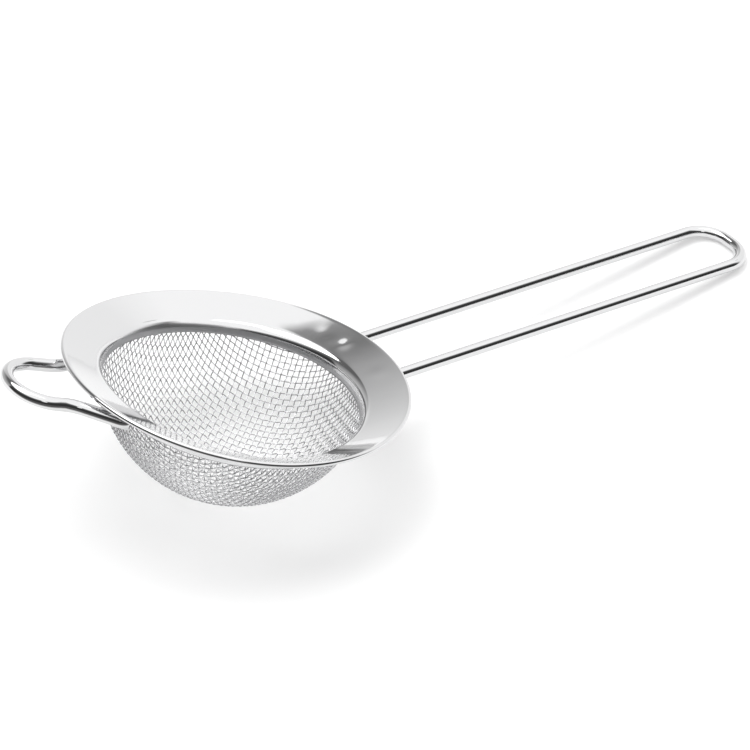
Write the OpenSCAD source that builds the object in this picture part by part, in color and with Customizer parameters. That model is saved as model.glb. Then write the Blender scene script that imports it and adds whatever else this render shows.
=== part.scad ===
// Wide-rim tea strainer: a woven wire bowl clamped under a pressed sheet rim, with a hairpin
// wire handle and a bent-wire cup rest welded to the rim's underside.
// The part lies as it rests on a table: on the bowl's bottom and the handle's bend.

/* [Rim] */
// Outside diameter of the rim, over its curled edge
rim_d = 80; // [70:1:95]
// Outside diameter of the curled edge
curl_d = 1.2; // [1:0.1:1.6]
// Thickness of the pressed sheet
sheet_t = 0.4; // [0.3:0.05:0.45]
// Diameter of the mouth, where the dished rim bends down
mouth_d = 63; // [58:0.5:64]
// How far the dished rim falls from its edge to the mouth
dish_h = 3; // [2.5:0.1:3.6]
// Inside radius of the bend at the mouth
bend_r = 2.3; // [2:0.1:2.5]
// Height of the collar's lower edge below the rim's mid plane
collar_h = 5.7; // [5.2:0.1:6.5]

/* [Bowl] */
// Depth of the bowl below the rim's mid plane
bowl_h = 29.5; // [26:0.5:34]
// Diameter of one wire of the cloth
cloth_wire_d = 0.28; // [0.2:0.02:0.3]
// Distance from one wire of the cloth to the next
cloth_pitch = 1.4; // [1.3:0.05:2.5]
// Direction of the cloth's warp wires, from the handle
cloth_turn = 31; // [0:1:90]

/* [Handle] */
// Diameter of the handle wire
handle_wire_d = 2.8; // [2.4:0.1:3]
// Distance between the centre lines of the handle's two legs
handle_w = 16.4; // [14:0.2:20]
// Reach of the handle's bend from the rim's axis
handle_reach = 150; // [120:1:170]
// Angle at which the handle rises from the rim's plane
handle_rise = 6.8; // [4:0.1:9]
// Inside corner radius of the handle's blunt bend
handle_corner_r = 5.6; // [4:0.1:5.6]

/* [Cup rest] */
// Diameter of the cup rest's wire
rest_wire_d = 3.1; // [2.6:0.1:3.2]
// Reach of the cup rest's wire from the rim's axis
rest_reach = 55.6; // [52:0.1:57]
// Radius of the cup rest's round end, on the centre line
rest_end_r = 8.9; // [7.5:0.1:10]
// Direction of the cup rest around the rim, from the handle
rest_turn = 162; // [160:1:180]
// Angle at which the cup rest rises from the rim's plane
rest_rise = 5.5; // [4:0.5:6]
// Angle by which its legs spread under the rim
rest_flare = 29; // [20:1:30]

/* [Hidden] */

steel = [0.78, 0.78, 0.80];
cloth_steel = [0.66, 0.67, 0.69];
wire_steel = [0.72, 0.72, 0.74];
weld_grey = [0.50, 0.50, 0.52];

// Rim section, in radius and height. The rim's mid plane is at the curl's centre.
rim_r = rim_d / 2;
curl_mid_r = (curl_d - sheet_t) / 2;
curl_x = rim_r - curl_d / 2;
curl_turn = 250;
mouth_r = mouth_d / 2;
dish_a = atan2(dish_h, curl_x - mouth_r);
bend_mid_r = bend_r + sheet_t / 2;
collar_a = 12;
arc_steps = 8;

// The cloth is two layers of wires on two spheres about one centre.
layer_gap = 0.02;
clamp_gap = 0.02;
cloth_t = 2 * cloth_wire_d + layer_gap;
seat_r = collar_foot_r() + sheet_t + clamp_gap;
bowl_d = bowl_h - collar_h;
bowl_r = (pow(seat_r + cloth_t, 2) + pow(bowl_d, 2)) / (2 * bowl_d);
bowl_z = bowl_r - bowl_h;
weft_r = bowl_r - cloth_wire_d / 2;
warp_r = weft_r - cloth_wire_d - layer_gap;
cloth_top_z = -collar_h + 1.2;
clamp_t = 0.4;
clamp_top_z = -collar_h + 2.1;
clamp_foot_z = -collar_h - 0.5;

// Handle: a hairpin with a blunt bend, in a plane that crosses the rim's edge at handle_z.
handle_z = -3.4;
handle_r = handle_wire_d / 2;
handle_corner = handle_corner_r + handle_r;
handle_root = 32;
handle_len = handle_reach - rim_r - handle_r;
handle_weld_x = 34.2;

// Cup rest: a round end, two bends and two spread legs, in its own rising plane.
rest_z = -3;
rest_r = rest_wire_d / 2;
rest_end_x = rest_reach - rest_r - rest_end_r;
rest_neck = 1.2;
rest_bend_r = 10;
rest_leg = 10.5;
leg_x = rest_end_x - rest_neck - rest_bend_r * sin(rest_flare);
leg_y = rest_end_r + rest_bend_r * (1 - cos(rest_flare));
rest_weld_s = 4.6;
weld_d = 3;

// Rest position: the bowl's bottom and the handle's bend touch one table plane.
tip_x = rim_r + handle_len * cos(handle_rise);
tip_z = handle_z + handle_len * sin(handle_rise);
tip_far = norm([tip_x, tip_z - bowl_z]);
tilt = atan2(tip_z - bowl_z, tip_x) + asin((bowl_r - handle_r) / tip_far);
lift = bowl_r - bowl_z * cos(tilt);
rest_ring = [for (a = [-90 : 2 : 90]) in_rest_plane(rest_end_x + rest_end_r * cos(a),
    rest_end_r * sin(a))];
back_x = min([for (p = rest_ring) p.x * cos(tilt) + p.z * sin(tilt)]) - rest_r;
front_x = tip_x * cos(tilt) + tip_z * sin(tilt) + handle_r;
centre_x = (back_x + front_x) / 2;

// A point of the cup rest's plane, given along and across the cup rest, in the rim's frame.
function in_rest_plane(along, across) = let (out = along - rim_r)
    [(rim_r + out * cos(rest_rise)) * cos(rest_turn) - across * sin(rest_turn),
     (rim_r + out * cos(rest_rise)) * sin(rest_turn) + across * cos(rest_turn),
     rest_z + out * sin(rest_rise)];

// The cup rest's wire on one side: the round end, the neck, the outward bend and the leg.
function rest_half() = concat(
    arc([rest_end_x, 0], rest_end_r, 0, 90, 2 * arc_steps),
    arc([rest_end_x - rest_neck, rest_end_r + rest_bend_r], rest_bend_r, -90, -90 - rest_flare),
    [[leg_x, leg_y] + rest_leg * [-cos(rest_flare), sin(rest_flare)]]);
function rest_path() = let (half = rest_half())
    concat([for (i = [len(half) - 1 : -1 : 1]) [half[i].x, -half[i].y]], half);

function arc(c, r, from, to, n = arc_steps) =
    [for (i = [0 : n]) let (a = from + (to - from) * i / n) c + r * [cos(a), sin(a)]];

// Centre of the bend at the mouth, under the dished sheet's inner end.
function bend_centre() = [mouth_r, -dish_h + curl_mid_r] + bend_mid_r * [sin(dish_a), -cos(dish_a)];
function bend_foot() = bend_centre() + bend_mid_r * [-cos(collar_a), sin(collar_a)];
function collar_foot() = let (p = bend_foot(), fall = p.y + collar_h)
    [p.x - fall * tan(collar_a), -collar_h];
function collar_foot_r() = collar_foot().x - sheet_t / 2;

// The sheet's mid line, from inside the curl, over the dish and down the collar.
function rim_line() = concat(
    arc([curl_x, 0], curl_mid_r, 90 + dish_a - curl_turn, 90 + dish_a, 2 * arc_steps),
    arc(bend_centre(), bend_mid_r, 90 + dish_a, 180 - collar_a),
    [collar_foot()]);

function along(line, i) = let (n = len(line) - 1)
    line[min(i + 1, n)] - line[max(i - 1, 0)];
function beside(line, i, d) = let (v = along(line, i)) line[i] + d * [-v.y, v.x] / norm(v);

// The outline of a sheet of thickness t along a mid line.
module sheet(line, t) {
    n = len(line) - 1;
    polygon(concat([for (i = [0 : n]) beside(line, i, t / 2)],
        [for (i = [n : -1 : 0]) beside(line, i, -t / 2)]));
}

// Lays the rim's frame down as the strainer rests: bowl and handle on the table.
module at_rest() {
    translate([-centre_x, 0, lift]) rotate([0, tilt, 0]) children();
}

module rim_flange() {
    color(steel) at_rest() rotate_extrude($fn = 180) sheet(rim_line(), sheet_t);
}

// A ring of the sphere's own shape, which holds the cloth against the collar.
module mesh_clamp_ring() {
    color(steel) at_rest() rotate_extrude($fn = 180) intersection() {
        translate([0, bowl_z]) difference() {
            circle(r = bowl_r + clamp_gap + clamp_t, $fn = 180);
            circle(r = bowl_r + clamp_gap, $fn = 180);
        }
        translate([0, clamp_foot_z]) square([2 * rim_r, clamp_top_z - clamp_foot_z]);
    }
}

// One layer of the cloth: each wire is an arc in its own upright plane across a sphere.
module cloth_layer(sphere_r) {
    drop = bowl_z - cloth_top_z;
    reach = sqrt(pow(sphere_r, 2) - pow(drop, 2));
    half = floor((reach - cloth_pitch) / cloth_pitch - 0.5) + 0.5;
    for (i = [-half : 1 : half]) {
        across = i * cloth_pitch;
        arc_r = sqrt(pow(sphere_r, 2) - pow(across, 2));
        swing = acos(drop / arc_r);
        translate([0, across, bowl_z]) rotate([90, 0, 0]) rotate([0, 0, -90 - swing])
            rotate_extrude(angle = 2 * swing, $fn = 96)
                translate([arc_r, 0]) circle(d = cloth_wire_d, $fn = 16);
    }
}

module warp_wires() {
    color(cloth_steel) at_rest() rotate([0, 0, cloth_turn]) cloth_layer(warp_r);
}

module weft_wires() {
    color(cloth_steel) at_rest() rotate([0, 0, cloth_turn + 90]) cloth_layer(weft_r);
}

// A straight wire of length l along +X.
module straight(l, d) {
    rotate([0, 90, 0]) cylinder(d = d, h = l, $fn = 48);
}

// A wire bent through an angle about the origin, from the direction of +X.
module bent(r, angle, d) {
    rotate_extrude(angle = angle, $fn = 96) translate([r, 0]) circle(d = d, $fn = 48);
}

module handle_shape() {
    root = rim_r - handle_root;
    leg = handle_len - handle_corner;
    half = handle_w / 2;
    translate([rim_r, 0, handle_z]) rotate([0, -handle_rise, 0]) {
        for (side = [-1, 1]) {
            translate([-root, side * half, 0]) straight(root + leg, handle_wire_d);
            scale([1, side, 1]) translate([leg, half - handle_corner, 0])
                bent(handle_corner, 90, handle_wire_d);
        }
        translate([handle_len, -half + handle_corner, 0]) rotate([0, 0, 90])
            straight(2 * (half - handle_corner), handle_wire_d);
    }
}

module handle_wire() {
    color(wire_steel) at_rest() handle_shape();
}

// The cup rest's own plane: +X points out over the cup's edge.
module in_rest() {
    rotate([0, 0, rest_turn]) translate([rim_r, 0, rest_z]) rotate([0, -rest_rise, 0])
        translate([-rim_r, 0, 0]) children();
}

// Where a leg leaves its bend, on either side of the cup rest, running back under the rim.
module at_leg(side, s) {
    translate([leg_x, side * leg_y, 0]) rotate([0, 0, 180 - side * rest_flare])
        translate([s, 0, 0]) children();
}

// A round wire along a flat path in the XY plane, with square-cut ends.
module formed_wire(path, d) {
    n = len(path) - 1;
    sides = 20;
    ring = [for (k = [0 : sides - 1]) d / 2 * [cos(360 * k / sides), sin(360 * k / sides)]];
    points = [for (i = [0 : n]) for (q = ring) let (p = beside(path, i, q.x)) [p.x, p.y, q.y]];
    walls = [for (i = [0 : n - 1]) for (k = [0 : sides - 1]) let (m = (k + 1) % sides)
        [i * sides + k, (i + 1) * sides + k, (i + 1) * sides + m, i * sides + m]];
    root = [for (k = [0 : sides - 1]) k];
    tip = [for (k = [sides - 1 : -1 : 0]) n * sides + k];
    polyhedron(points, concat(walls, [root, tip]));
}

module cup_rest_wire() {
    color(wire_steel) at_rest() in_rest() formed_wire(rest_path(), rest_wire_d);
}

// The dished sheet's underside filled in, which trims a weld to the rim.
module above_rim() {
    rotate_extrude($fn = 180) polygon([
        [mouth_r, -dish_h + curl_mid_r] + sheet_t / 2 * [sin(dish_a), -cos(dish_a)],
        [curl_x, curl_mid_r] + sheet_t / 2 * [sin(dish_a), -cos(dish_a)],
        [curl_x, rim_r], [mouth_r, rim_r]]);
}

// A nugget of weld metal that stands on a wire and meets the rim's underside.
module nugget(h) {
    cylinder(d = weld_d, h = h, $fn = 32);
}

module handle_spot_welds() {
    color(weld_grey) at_rest() difference() {
        for (side = [-1, 1])
            translate([rim_r, 0, handle_z]) rotate([0, -handle_rise, 0])
                translate([handle_weld_x - rim_r, side * handle_w / 2, 0]) nugget(3);
        handle_shape();
        above_rim();
    }
}

module cup_rest_spot_welds() {
    color(weld_grey) at_rest() difference() {
        in_rest() for (side = [-1, 1]) at_leg(side, rest_weld_s) nugget(3);
        in_rest() for (side = [-1, 1]) at_leg(side, 0) straight(rest_leg, rest_wire_d);
        above_rim();
    }
}

rim_flange();
mesh_clamp_ring();
warp_wires();
weft_wires();
handle_wire();
cup_rest_wire();
handle_spot_welds();
cup_rest_spot_welds();
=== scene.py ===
"""Tea strainer: woven wire bowl in a pressed sheet rim, wire handle and wire cup rest."""

from math import acos, atan2, cos, exp, hypot, pi, radians, sin, tan

import bmesh
import bpy
from mathutils import Matrix, Vector


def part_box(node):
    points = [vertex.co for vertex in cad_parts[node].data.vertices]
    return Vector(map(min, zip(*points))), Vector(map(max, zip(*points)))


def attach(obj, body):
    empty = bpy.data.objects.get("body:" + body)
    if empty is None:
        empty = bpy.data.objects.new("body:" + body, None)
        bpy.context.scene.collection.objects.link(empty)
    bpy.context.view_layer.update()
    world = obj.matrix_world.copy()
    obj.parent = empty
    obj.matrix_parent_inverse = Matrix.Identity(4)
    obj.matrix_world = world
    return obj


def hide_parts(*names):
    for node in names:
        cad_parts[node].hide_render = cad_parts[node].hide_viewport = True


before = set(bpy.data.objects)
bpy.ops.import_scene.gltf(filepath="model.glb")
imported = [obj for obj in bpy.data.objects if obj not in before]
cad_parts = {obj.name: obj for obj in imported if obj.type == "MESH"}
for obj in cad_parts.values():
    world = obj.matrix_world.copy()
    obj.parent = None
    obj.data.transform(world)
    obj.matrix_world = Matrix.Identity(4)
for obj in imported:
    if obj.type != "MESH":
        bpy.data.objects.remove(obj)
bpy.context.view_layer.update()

MM = 0.001

# Sizes are in millimetres, in the rim's own frame: +X to the handle, +Z up the rim's axis.
# Space left between two pieces that lie against each other.
GAP = 0.02

# Rim section
SHEET_T = 0.4
CURL_R = 0.6
CURL_TURN = radians(250)
MOUTH_R = 31.5
DISH_H = 3.0
DISH_HOLLOW = 0.06
BEND_R = 2.5
COLLAR_A = radians(12)
COLLAR_H = 5.7
RIM_STEPS = 420
# Lean of the rim's axis when the strainer lies on its bowl and on the handle's bend.
TILT = radians(14.6197)

# Bowl and the ring that clamps its edge
BOWL_H = 29.5
CLOTH_WIRE_D = 0.28
CLOTH_PITCH = 1.4
CLOTH_TURN = radians(31)
CLOTH_TOP_Z = -4.5
CLOTH_REACH = 48
CLAMP_T = 0.4
CLAMP_OVER = 2.1
CLAMP_UNDER = 0.5
CLAMP_STEPS = 300

# Handle wire
HANDLE_R = 1.4
HANDLE_W = 16.4
HANDLE_RISE = radians(6.8)
HANDLE_Z = -3.4
HANDLE_ROOT = 32.0
HANDLE_LEN = 108.6
HANDLE_CORNER = 7.0
HANDLE_WELD_X = 34.2

# Cup rest wire
REST_R = 1.55
REST_TURN = radians(162)
REST_RISE = radians(5.5)
REST_Z = -3.0
REST_REACH = 55.6
REST_END_R = 8.9
REST_NECK = 1.2
REST_FAR_NECK = 3.6
REST_BEND_R = 10.0
REST_FLARE = radians(29)
REST_LEG = 10.5
REST_WELD_S = 4.6

# Weld beads
WELD_R = 1.5
WELD_HALF_H = 0.8
WELD_DROP = 0.75

rim_lo, rim_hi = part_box("rim_flange")
RIM_R = rim_hi.y / MM
CURL_X = RIM_R - CURL_R
rim_centre = Vector((
    (rim_lo.x + rim_hi.x) / 2,
    0,
    rim_hi.z - (CURL_X * sin(TILT) + CURL_R) * MM,
))
AT_REST = Matrix.Translation(rim_centre) @ Matrix.Rotation(TILT, 4, "Y") @ Matrix.Scale(MM, 4)


def arc(centre, r, start, end, steps):
    """Points of an arc, in the plane of a section or of a bent wire."""
    points = []
    for i in range(steps + 1):
        a = start + (end - start) * i / steps
        points.append((centre[0] + r * cos(a), centre[1] + r * sin(a)))
    return points


def line(start, end, steps):
    """Points between two ends, without the first."""
    return [
        (start[0] + (end[0] - start[0]) * i / steps, start[1] + (end[1] - start[1]) * i / steps)
        for i in range(1, steps + 1)
    ]


def hollow(start, end, sag, steps):
    """Points between two ends without the first, along a line that sags in the middle."""
    points = line(start, end, steps)
    return [
        (x, z - 4 * sag * (i / steps) * (1 - i / steps)) for i, (x, z) in enumerate(points, 1)
    ]


CURL_MID_R = CURL_R - SHEET_T / 2
DISH_A = atan2(DISH_H, CURL_X - MOUTH_R)
bend_centre = (
    MOUTH_R + BEND_R * sin(DISH_A),
    -DISH_H + CURL_MID_R - BEND_R * cos(DISH_A),
)
bend_foot = (bend_centre[0] - BEND_R * cos(COLLAR_A), bend_centre[1] + BEND_R * sin(COLLAR_A))
collar_foot = (bend_foot[0] - (bend_foot[1] + COLLAR_H) * tan(COLLAR_A), -COLLAR_H)
seat_r = collar_foot[0] + SHEET_T / 2 + GAP
bowl_depth = BOWL_H - COLLAR_H
BOWL_R = ((seat_r + 2 * CLOTH_WIRE_D + GAP) ** 2 + bowl_depth**2) / (2 * bowl_depth)
BOWL_Z = BOWL_R - BOWL_H
CLOTH_R = BOWL_R - CLOTH_WIRE_D - GAP / 2


def new_piece(name, bm, material, node):
    """Lays a finished bmesh down as it rests, and hands it to the frame."""
    bmesh.ops.transform(bm, matrix=AT_REST, verts=bm.verts)
    bmesh.ops.recalc_face_normals(bm, faces=bm.faces)
    mesh = bpy.data.meshes.new(name)
    for face in bm.faces:
        face.smooth = True
    bm.to_mesh(mesh)
    bm.free()
    piece = bpy.data.objects.new(name, mesh)
    bpy.context.scene.collection.objects.link(piece)
    mesh.materials.append(material)
    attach(piece, "root")
    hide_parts(node)


# Materials ---------------------------------------------------------------------------------


def link(tree, a, b):
    tree.links.new(a, b)


def dot_with(tree, place, direction):
    """The share of a vector that lies along a direction."""
    dot = tree.nodes.new("ShaderNodeVectorMath")
    dot.operation = "DOT_PRODUCT"
    dot.inputs[1].default_value = direction
    link(tree, place, dot.inputs[0])
    return dot.outputs["Value"]


def soft_step(tree, value, none, full):
    """A soft mask: 0 where a value is at none, 1 where it is at full."""
    span = tree.nodes.new("ShaderNodeMapRange")
    span.interpolation_type = "SMOOTHSTEP"
    span.inputs["From Min"].default_value = none
    span.inputs["From Max"].default_value = full
    link(tree, value, span.inputs["Value"])
    return span.outputs["Result"]


def grey(level):
    return (level, level, level, 1)


def blend(tree, mask, base, other, mode="MIX"):
    """A colour that changes to another where a mask is 1. Each is a socket or a plain colour."""
    mix = tree.nodes.new("ShaderNodeMix")
    mix.data_type = "RGBA"
    mix.blend_type = mode
    for name, given in (("Factor", mask), ("A", base), ("B", other)):
        if isinstance(given, bpy.types.NodeSocket):
            link(tree, given, mix.inputs[name])
        else:
            mix.inputs[name].default_value = given
    return mix.outputs["Result"]


def metal_surface_group():
    """Fine drawn or rolled texture of metal: a grey value for roughness, and a height."""
    tree = bpy.data.node_groups.new("metal_surface", "ShaderNodeTree")
    for name in ("Scale", "Low", "High"):
        tree.interface.new_socket(name, in_out="INPUT", socket_type="NodeSocketFloat")
    tree.interface.new_socket("Roughness", in_out="OUTPUT", socket_type="NodeSocketFloat")
    tree.interface.new_socket("Height", in_out="OUTPUT", socket_type="NodeSocketFloat")
    given = tree.nodes.new("NodeGroupInput")
    out = tree.nodes.new("NodeGroupOutput")
    place = tree.nodes.new("ShaderNodeTexCoord")
    coarse = tree.nodes.new("ShaderNodeTexNoise")
    coarse.inputs["Detail"].default_value = 2
    fine = tree.nodes.new("ShaderNodeTexNoise")
    fine.inputs["Detail"].default_value = 3
    finer = tree.nodes.new("ShaderNodeMath")
    finer.operation = "MULTIPLY"
    finer.inputs[1].default_value = 9.0
    span = tree.nodes.new("ShaderNodeMapRange")
    link(tree, place.outputs["Object"], coarse.inputs["Vector"])
    link(tree, place.outputs["Object"], fine.inputs["Vector"])
    link(tree, given.outputs["Scale"], coarse.inputs["Scale"])
    link(tree, given.outputs["Scale"], finer.inputs[0])
    link(tree, finer.outputs[0], fine.inputs["Scale"])
    link(tree, fine.outputs["Fac"], span.inputs["Value"])
    link(tree, given.outputs["Low"], span.inputs["To Min"])
    link(tree, given.outputs["High"], span.inputs["To Max"])
    link(tree, span.outputs["Result"], out.inputs["Roughness"])
    link(tree, coarse.outputs["Fac"], out.inputs["Height"])
    return tree


metal_surface = metal_surface_group()


def metal(name, colour, rough_low, rough_high, wave, wave_scale):
    """A metal with a slightly uneven polish. wave is the depth of its unevenness in metres."""
    material = bpy.data.materials.new(name)
    material.use_nodes = True
    tree = material.node_tree
    shader = tree.nodes["Principled BSDF"]
    shader.inputs["Base Color"].default_value = (*colour, 1)
    shader.inputs["Metallic"].default_value = 1.0
    group = tree.nodes.new("ShaderNodeGroup")
    group.node_tree = metal_surface
    group.inputs["Scale"].default_value = wave_scale
    group.inputs["Low"].default_value = rough_low
    group.inputs["High"].default_value = rough_high
    link(tree, group.outputs["Roughness"], shader.inputs["Roughness"])
    if wave:
        bump = tree.nodes.new("ShaderNodeBump")
        bump.inputs["Strength"].default_value = 1.0
        bump.inputs["Distance"].default_value = wave
        link(tree, group.outputs["Height"], bump.inputs["Height"])
        link(tree, bump.outputs["Normal"], shader.inputs["Normal"])
    return material


def roughen_with_painted_shade_below(material, full, none, colour, rough):
    """Makes a metal rougher, and darker with painted shade, below a height on the rim's axis:
    wholly so below full, and not at all above none, both in millimetres from the rim's centre."""
    tree = material.node_tree
    shader = tree.nodes["Principled BSDF"]
    place = tree.nodes.new("ShaderNodeTexCoord")
    axis = Vector((sin(TILT), 0, cos(TILT)))
    start = rim_centre.dot(axis)
    along = dot_with(tree, place.outputs["Object"], axis)
    # Mask of the painted shade, which darkens the colour, and of the rougher finish.
    share = soft_step(tree, along, start + none * MM, start + full * MM)
    polished = tuple(shader.inputs["Base Color"].default_value)
    link(tree, blend(tree, share, polished, (*colour, 1)), shader.inputs["Base Color"])
    finish = tree.nodes.new("ShaderNodeMix")
    finish.inputs["B"].default_value = rough
    link(tree, shader.inputs["Roughness"].links[0].from_socket, finish.inputs["A"])
    link(tree, share, finish.inputs["Factor"])
    link(tree, finish.outputs["Result"], shader.inputs["Roughness"])


rim_steel = metal("polished rim steel", (0.71, 0.71, 0.715), 0.04, 0.09, 0.00004, 90)
# The collar below the bend is given painted shade, a darker grey standing in for the dark it
# mirrors, and a rougher finish.
roughen_with_painted_shade_below(rim_steel, -4.6, -3.7, (0.5, 0.5, 0.51), 0.4)
clamp_steel = metal("plain clamp steel", (0.74, 0.74, 0.75), 0.18, 0.3, 0, 120)
cloth_steel = metal("drawn cloth wire", (0.66, 0.66, 0.67), 0.14, 0.24, 0, 400)
wire_steel = metal("polished wire", (0.70, 0.70, 0.705), 0.04, 0.08, 0.00001, 120)
weld_steel = metal("weld metal", (0.62, 0.62, 0.63), 0.25, 0.4, 0.00005, 900)


# Rim ---------------------------------------------------------------------------------------


def sheet_outline(mid_line, thickness):
    """The closed outline of a sheet along its mid line."""
    sides = ([], [])
    last = len(mid_line) - 1
    for i, point in enumerate(mid_line):
        before, after = mid_line[max(i - 1, 0)], mid_line[min(i + 1, last)]
        run = Vector((after[0] - before[0], after[1] - before[1])).normalized()
        across = Vector((-run.y, run.x)) * thickness / 2
        sides[0].append(Vector(point) + across)
        sides[1].append(Vector(point) - across)
    return sides[0] + sides[1][::-1]


def turned(outline, steps):
    """A closed section turned about the rim's axis."""
    bm = bmesh.new()
    ring = [bm.verts.new((p[0], 0, p[1])) for p in outline]
    edges = [bm.edges.new((ring[i - 1], ring[i])) for i in range(len(ring))]
    bmesh.ops.spin(
        bm, geom=ring + edges, cent=(0, 0, 0), axis=(0, 0, 1), angle=2 * pi, steps=steps,
        use_merge=True,
    )
    return bm


# Welding draws the rim a little up towards the two wires and down between them, and its
# outer edge leans a little towards one side.
WARP_TURN = radians(9)
WARP_EDGE = 0.86
WARP_MOUTH = 0.9
WARP_FOOT = 0.35
LEAN_ALONG = 0.3
LEAN_ACROSS = -0.5


def warp_height(x, y, z):
    """How far the warp lifts a point of the rim or of its collar."""
    r = hypot(x, y)
    if z > -DISH_H:
        share = min(max((r - MOUTH_R) / (RIM_R - MOUTH_R), 0), 1)
        depth = WARP_MOUTH + (WARP_EDGE - WARP_MOUTH) * share
        lean = share * (LEAN_ALONG * x + LEAN_ACROSS * y) / RIM_R
    else:
        share = min(max((z + COLLAR_H) / (COLLAR_H - DISH_H), 0), 1)
        depth = WARP_FOOT + (WARP_MOUTH - WARP_FOOT) * share
        lean = 0
    return lean + depth * cos(2 * (atan2(y, x) + WARP_TURN))


# Marks the welding left in the dish: place along and across the handle, radius and depth.
WELD_MARKS = (
    (34.6, 3.6, 1.3, 0.2),
    (33.4, 6.8, 1.7, -0.06),
    (33.2, 9.6, 1.8, 0.06),
    (33.4, -10.2, 2.0, 0.06),
)
# A mark fades out within this many radii.
MARK_REACH = 3


def press(bm):
    """Warps a turned ring and presses the weld marks into its dish."""
    for vert in bm.verts:
        x, y, z = vert.co
        lift = warp_height(x, y, z)
        if z > -DISH_H:
            for along, across, radius, depth in WELD_MARKS:
                near = hypot(x - along, y - across) / radius
                if near < MARK_REACH:
                    lift -= depth * exp(-near * near)
        vert.co.z += lift


dish_top = (
    CURL_X + CURL_MID_R * cos(pi / 2 + DISH_A),
    CURL_MID_R * sin(pi / 2 + DISH_A),
)
bend_top = (
    bend_centre[0] + BEND_R * cos(pi / 2 + DISH_A),
    bend_centre[1] + BEND_R * sin(pi / 2 + DISH_A),
)
rim_line = (
    arc((CURL_X, 0), CURL_MID_R, pi / 2 + DISH_A - CURL_TURN, pi / 2 + DISH_A, 28)
    + hollow(dish_top, bend_top, DISH_HOLLOW, 12)
    + arc(bend_centre, BEND_R, pi / 2 + DISH_A, pi - COLLAR_A, 14)[1:]
    + line(bend_foot, collar_foot, 3)
)
rim = turned(sheet_outline(rim_line, SHEET_T), RIM_STEPS)
press(rim)
new_piece("rim_sheet", rim, rim_steel, "rim_flange")


def sphere_section(inner, outer, top_z, foot_z, steps):
    """The section of a ring cut from a hollow sphere about the bowl's centre."""
    points = []
    for r, order in ((inner, 1), (outer, -1)):
        top, foot = acos((BOWL_Z - top_z) / r), acos((BOWL_Z - foot_z) / r)
        angles = [top + (foot - top) * i / steps for i in range(steps + 1)]
        side = [(r * sin(a), BOWL_Z - r * cos(a)) for a in angles]
        points += side[::order]
    return points


clamp_r = BOWL_R + GAP
clamp = turned(
    sphere_section(
        clamp_r, clamp_r + CLAMP_T, -COLLAR_H + CLAMP_OVER, -COLLAR_H - CLAMP_UNDER, 6,
    ),
    CLAMP_STEPS,
)
for vert in clamp.verts:
    vert.co.z += warp_height(*vert.co)
new_piece("clamp_ring", clamp, clamp_steel, "mesh_clamp_ring")


# Woven cloth -------------------------------------------------------------------------------

# The cloth is woven flat and pushed into a bowl: its wires keep their spacing, and its
# square openings shear into lozenges between the two weave directions.
WEAVE_STEPS = 6
# Wires that cross at a sharper slant than this share of a square opening are left out.
LEAST_SHEAR = 0.2
CLOTH_SIDES = 6


def cloth_net(reach):
    """Crossings of the cloth's wires on the bowl, by their number along each direction."""
    net = {}
    step = CLOTH_PITCH / CLOTH_R
    for i in range(-reach, reach + 1):
        for key, turn in (((i, 0), CLOTH_TURN), ((0, i), CLOTH_TURN + pi / 2)):
            a = i * step
            net[key] = Vector((sin(a) * cos(turn), sin(a) * sin(turn), -cos(a)))
    for si in (-1, 1):
        for sj in (-1, 1):
            for i in range(reach):
                for j in range(reach):
                    a, b = net.get((si * (i + 1), sj * j)), net.get((si * i, sj * (j + 1)))
                    start = net.get((si * i, sj * j))
                    if a is None or b is None or start is None:
                        continue
                    across = a.cross(b)
                    if across.length < step * LEAST_SHEAR * step:
                        continue
                    across.normalize()
                    corner = start - 2 * start.dot(across) * across
                    if corner.z * CLOTH_R + BOWL_Z < CLOTH_TOP_Z + 2 * CLOTH_PITCH:
                        net[(si * (i + 1), sj * (j + 1))] = corner
    return net


def wire_runs(net, reach, direction, number):
    """Unbroken runs of crossings of one wire, below the cloth's top edge."""
    run = []
    for k in range(-reach, reach + 1):
        key = (k, number) if direction == 0 else (number, k)
        point = net.get(key)
        if point is not None and point.z * CLOTH_R + BOWL_Z < CLOTH_TOP_Z:
            run.append((k, point))
        else:
            if len(run) > 1:
                yield run
            run = []
    if len(run) > 1:
        yield run


def woven_wire(run, number, direction):
    """Points of one wire, which passes over and under the wires that cross it."""
    points = []
    height = CLOTH_WIRE_D / 2 + GAP / 4
    side = (1 if direction == 0 else -1) * (-1 if number % 2 else 1)
    for (k, a), (_, b) in zip(run, run[1:]):
        for m in range(WEAVE_STEPS):
            t = m / WEAVE_STEPS
            out = a.lerp(b, t).normalized()
            points.append(out * (CLOTH_R + side * height * cos(pi * (k + t))))
    k, last = run[-1]
    points.append(last * (CLOTH_R + side * height * cos(pi * k)))
    return [p + Vector((0, 0, BOWL_Z)) for p in points]


def wire_mesh(paths, radius, sides):
    """Round wires along open paths, as one bmesh."""
    curve = bpy.data.curves.new("wire", "CURVE")
    curve.dimensions = "3D"
    curve.bevel_depth = radius
    curve.bevel_resolution = (sides - 4) // 2
    curve.use_fill_caps = True
    for path in paths:
        spline = curve.splines.new("POLY")
        spline.points.add(len(path) - 1)
        for point, place in zip(spline.points, path):
            point.co = (*place, 1)
    holder = bpy.data.objects.new("wire", curve)
    bpy.context.scene.collection.objects.link(holder)
    formed = holder.evaluated_get(bpy.context.evaluated_depsgraph_get())
    mesh = bpy.data.meshes.new_from_object(formed)
    bm = bmesh.new()
    bm.from_mesh(mesh)
    bpy.data.objects.remove(holder)
    bpy.data.curves.remove(curve)
    bpy.data.meshes.remove(mesh)
    bmesh.ops.remove_doubles(bm, verts=bm.verts, dist=radius * 0.02)
    return bm


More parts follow.
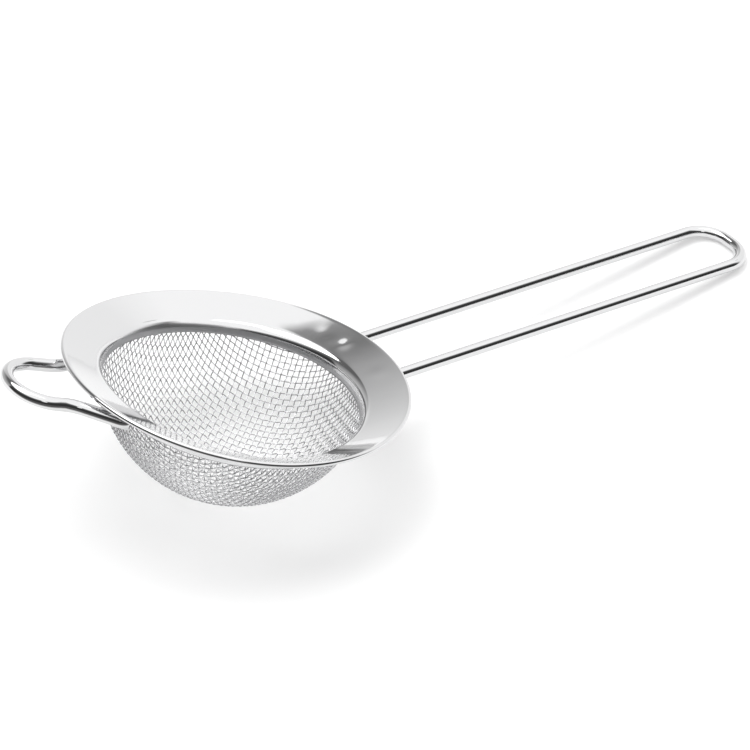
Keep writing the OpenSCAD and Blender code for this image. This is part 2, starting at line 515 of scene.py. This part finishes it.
net = cloth_net(CLOTH_REACH)
for direction, name, node in ((0, "warp", "warp_wires"), (1, "weft", "weft_wires")):
    for half, numbers in (("a", range(-CLOTH_REACH, 0)), ("b", range(CLOTH_REACH + 1))):
        paths = [
            woven_wire(run, number, direction)
            for number in numbers
            for run in wire_runs(net, CLOTH_REACH, direction, number)
        ]
        cloth = wire_mesh(paths, CLOTH_WIRE_D / 2, CLOTH_SIDES)
        new_piece(f"{name}_cloth_{half}", cloth, cloth_steel, node)


# Handle and cup rest -----------------------------------------------------------------------

WIRE_SIDES = 36


def handle_path():
    """The handle's hairpin, in its rising plane, from one leg's root to the other's."""
    half = HANDLE_W / 2
    turn = HANDLE_LEN - HANDLE_CORNER
    root = HANDLE_ROOT - RIM_R
    flat = (
        [(root, -half)]
        + line((root, -half), (turn, -half), 40)
        + arc((turn, -half + HANDLE_CORNER), HANDLE_CORNER, -pi / 2, 0, 24)[1:]
        + line((HANDLE_LEN, -half + HANDLE_CORNER), (HANDLE_LEN, half - HANDLE_CORNER), 4)
        + arc((turn, half - HANDLE_CORNER), HANDLE_CORNER, 0, pi / 2, 24)[1:]
        + line((turn, half), (root, half), 40)
    )
    return [
        Vector((RIM_R + u * cos(HANDLE_RISE), y, HANDLE_Z + u * sin(HANDLE_RISE)))
        for u, y in flat
    ]


def rest_point(out, across):
    """A point of the cup rest's rising plane, in the rim's frame."""
    reach = RIM_R + (out - RIM_R) * cos(REST_RISE)
    return Vector((
        reach * cos(REST_TURN) - across * sin(REST_TURN),
        reach * sin(REST_TURN) + across * cos(REST_TURN),
        REST_Z + (out - RIM_R) * sin(REST_RISE),
    ))


def rest_leg_start(neck):
    """Where a leg of the cup rest leaves its bend, for a neck of a given length."""
    end_x = REST_REACH - REST_R - REST_END_R
    return (
        end_x - neck - REST_BEND_R * sin(REST_FLARE),
        REST_END_R + REST_BEND_R * (1 - cos(REST_FLARE)),
    )


def rest_leg(neck):
    """One half of the cup rest: a quarter of the round end, a bend and a spreading leg."""
    end_x = REST_REACH - REST_R - REST_END_R
    leg_x, leg_y = rest_leg_start(neck)
    # A longer neck leaves a shorter leg, which ends as far under the rim.
    length = REST_LEG - (neck - REST_NECK) / cos(REST_FLARE)
    foot = (leg_x - length * cos(REST_FLARE), leg_y + length * sin(REST_FLARE))
    return (
        arc((end_x, 0), REST_END_R, 0, pi / 2, 24)
        + arc((end_x - neck, REST_END_R + REST_BEND_R), REST_BEND_R, -pi / 2,
              -pi / 2 - REST_FLARE, 16)
        + line((leg_x, leg_y), foot, 4)
    )


def rest_path():
    """The cup rest: a round end, two bends and two legs that spread under the rim."""
    far = [rest_point(x, -y) for x, y in rest_leg(REST_FAR_NECK)]
    near = [rest_point(x, y) for x, y in rest_leg(REST_NECK)]
    return far[:0:-1] + near


new_piece("handle_hairpin", wire_mesh([handle_path()], HANDLE_R, WIRE_SIDES),
          wire_steel, "handle_wire")
new_piece("cup_rest_ear", wire_mesh([rest_path()], REST_R, WIRE_SIDES),
          wire_steel, "cup_rest_wire")


def weld_bead(bm, place, radius, half_height):
    """A flattened bead of weld metal between a wire and the rim's underside."""
    matrix = Matrix.Translation(place) @ Matrix.Diagonal((radius, radius, half_height, 1))
    bmesh.ops.create_uvsphere(bm, u_segments=24, v_segments=14, radius=1, matrix=matrix)


def dish_under(x, y):
    """Height of the rim's underside over a point."""
    r = hypot(x, y)
    mid = -DISH_H + CURL_MID_R + (r - MOUTH_R) * tan(DISH_A)
    return mid - SHEET_T / 2 / cos(DISH_A) + warp_height(x, y, 0)


def weld_places():
    """Where the wires are welded under the rim, as points of its plane."""
    places = [(HANDLE_WELD_X, side * HANDLE_W / 2) for side in (-1, 1)]
    for side, neck in ((-1, REST_FAR_NECK), (1, REST_NECK)):
        leg_x, leg_y = rest_leg_start(neck)
        out = leg_x - REST_WELD_S * cos(REST_FLARE)
        across = side * (leg_y + REST_WELD_S * sin(REST_FLARE))
        places.append((
            out * cos(REST_TURN) - across * sin(REST_TURN),
            out * sin(REST_TURN) + across * cos(REST_TURN),
        ))
    return places


welds = weld_places()
for name, node, spots in (
    ("handle_welds", "handle_spot_welds", welds[:2]),
    ("cup_rest_welds", "cup_rest_spot_welds", welds[2:]),
):
    beads = bmesh.new()
    for x, y in spots:
        weld_bead(beads, Vector((x, y, dish_under(x, y) - WELD_DROP)), WELD_R, WELD_HALF_H)
    new_piece(name, beads, weld_steel, node)


# Stage -------------------------------------------------------------------------------------

FLOOR_HALF = 4
# The paper is seen by reflections as ending in front of the strainer: the way to that side,
# and where it starts and ends its fading, in metres.
PAPER_WAY = (-0.62, -0.785, 0)
PAPER_FADES = 0.08
PAPER_ENDS = 0.135


def white_paper():
    """Matt white paper, slightly lit by itself, which reflections see only up to its end."""
    material = bpy.data.materials.new("white paper")
    material.use_nodes = True
    tree = material.node_tree
    shader = tree.nodes["Principled BSDF"]
    shader.inputs["Roughness"].default_value = 0.9
    shader.inputs["Specular IOR Level"].default_value = 0.1
    shader.inputs["Emission Strength"].default_value = 1.0
    place = tree.nodes.new("ShaderNodeTexCoord")
    front = dot_with(tree, place.outputs["Object"], PAPER_WAY)
    seen = tree.nodes.new("ShaderNodeLightPath")
    ended = tree.nodes.new("ShaderNodeMath")
    ended.operation = "MULTIPLY"
    link(tree, soft_step(tree, front, PAPER_FADES, PAPER_ENDS), ended.inputs[0])
    link(tree, seen.outputs["Is Glossy Ray"], ended.inputs[1])
    for socket, pale, dark in (("Base Color", 0.8, 0.1), ("Emission Color", 0.27, 0.0)):
        shade = blend(tree, ended.outputs[0], grey(pale), grey(dark))
        link(tree, shade, shader.inputs[socket])
    return material


floor_mesh = bpy.data.meshes.new("floor")
sheet = bmesh.new()
bmesh.ops.create_grid(sheet, x_segments=1, y_segments=1, size=FLOOR_HALF)
sheet.to_mesh(floor_mesh)
sheet.free()
floor_mesh.materials.append(white_paper())
floor = bpy.data.objects.new("floor", floor_mesh)
bpy.context.scene.collection.objects.link(floor)

# Camera: a long lens, looking down from the cup rest's side.
VIEW_TURN = radians(37.75)
VIEW_DOWN = radians(37.06)
# The camera's distance from the rim's centre, and how far the centre lies beside its axis.
VIEW_FAR = 1666.7
VIEW_RIGHT = 31.23
VIEW_UP = -0.19
LENS = 356.9
SENSOR = 36
right = Vector((cos(VIEW_TURN), -sin(VIEW_TURN), 0))
ahead = Vector((
    sin(VIEW_TURN) * cos(VIEW_DOWN),
    cos(VIEW_TURN) * cos(VIEW_DOWN),
    -sin(VIEW_DOWN),
))
up = right.cross(ahead)
camera_data = bpy.data.cameras.new("camera")
camera_data.lens = LENS
camera_data.sensor_width = SENSOR
camera_data.clip_end = 50
camera = bpy.data.objects.new("camera", camera_data)
bpy.context.scene.collection.objects.link(camera)
turn = Matrix((right, up, -ahead)).transposed().to_4x4()
place = rim_centre + (VIEW_RIGHT * right + VIEW_UP * up - VIEW_FAR * ahead) * MM
camera.matrix_world = Matrix.Translation(place) @ turn
bpy.context.scene.camera = camera

# Light: a white room with a bright ceiling, a gap and a dark side behind the strainer, a dark
# front, and a lamp overhead.
ROOM_LIGHT = 1.27
LAMP_PLACE = Vector((-0.35, 0.5, 1.4))
LAMP_SIZE = 1.2
LAMP_POWER = 10

world = bpy.data.worlds.new("white room")
bpy.context.scene.world = world
world.use_nodes = True
room = world.node_tree
sky = room.nodes["Background"]
sky.inputs["Color"].default_value = (1, 1, 1, 1)
look = room.nodes.new("ShaderNodeTexCoord")
split = room.nodes.new("ShaderNodeSeparateXYZ")
link(room, look.outputs["Generated"], split.inputs[0])
height = room.nodes.new("ShaderNodeMath")
height.operation = "ARCSINE"
link(room, split.outputs["Z"], height.inputs[0])


def heading(azimuth, elevation=0):
    """A direction in the room, from its angles in degrees."""
    a, e = radians(azimuth), radians(elevation)
    return Vector((cos(a) * cos(e), sin(a) * cos(e), sin(e)))


def up_the_wall(stops):
    """Light that changes with height: pairs of an angle above the floor and a level."""
    share = room.nodes.new("ShaderNodeMath")
    share.operation = "DIVIDE"
    share.inputs[1].default_value = pi / 2
    link(room, height.outputs[0], share.inputs[0])
    ramp = room.nodes.new("ShaderNodeValToRGB")
    link(room, share.outputs[0], ramp.inputs["Fac"])
    marks = ramp.color_ramp.elements
    marks.remove(marks[1])
    for i, (angle, level) in enumerate(stops):
        mark = marks[0] if i == 0 else marks.new(angle / 90)
        mark.position = angle / 90
        mark.color = grey(level)
    return ramp.outputs["Color"]


def toward(direction, near, far, seen=look.outputs["Generated"]):
    """A soft mask: 1 within near of a direction, 0 beyond far, both as angles in degrees."""
    return soft_step(room, dot_with(room, seen, direction), cos(radians(far)), cos(radians(near)))


def facing(azimuth, near, far):
    """A soft mask by direction over the floor only: 1 within near degrees of it, 0 beyond far."""
    flat = room.nodes.new("ShaderNodeVectorMath")
    flat.operation = "MULTIPLY"
    flat.inputs[1].default_value = (1, 1, 0)
    link(room, look.outputs["Generated"], flat.inputs[0])
    unit = room.nodes.new("ShaderNodeVectorMath")
    unit.operation = "NORMALIZE"
    link(room, flat.outputs[0], unit.inputs[0])
    return toward(heading(azimuth), near, far, unit.outputs[0])


open_room = up_the_wall([(0, 0.86), (24, 0.88), (42, 1.0), (66, 1.0), (72, 2.4)])
back_gap = up_the_wall(
    [(0, 0.78), (9, 0.72), (24, 0.56), (38, 0.38), (45, 0.2), (52, 0.28), (54.5, 1.0)]
)
front_dark = up_the_wall([(0, 0.05), (6, 0.03), (30, 0.04), (40, 0.16), (48, 1.0)])
side_dark = up_the_wall([(0, 0.6), (18, 0.4), (36, 0.12), (60, 0.12), (65, 1.0)])
light = open_room
for other, mask in (
    (back_gap, facing(64, 13, 16.5)),
    (grey(0.5), toward(heading(9, 36), 2.5, 3.5)),
    (front_dark, facing(-128, 92, 112)),
    (side_dark, facing(107, 27, 34)),
    (grey(1.0), toward(heading(-112, 37), 6, 8)),
):
    light = blend(room, mask, light, other)
link(room, blend(room, 1, light, grey(ROOM_LIGHT), "MULTIPLY"), sky.inputs["Color"])

lamp_data = bpy.data.lights.new("soft lamp", "AREA")
lamp_data.shape = "DISK"
lamp_data.size = LAMP_SIZE
lamp_data.energy = LAMP_POWER
lamp = bpy.data.objects.new("soft lamp", lamp_data)
bpy.context.scene.collection.objects.link(lamp)
lamp.location = LAMP_PLACE
lamp.rotation_euler = (-LAMP_PLACE).to_track_quat("-Z", "Y").to_euler()

bpy.context.scene.view_settings.view_transform = "Standard"
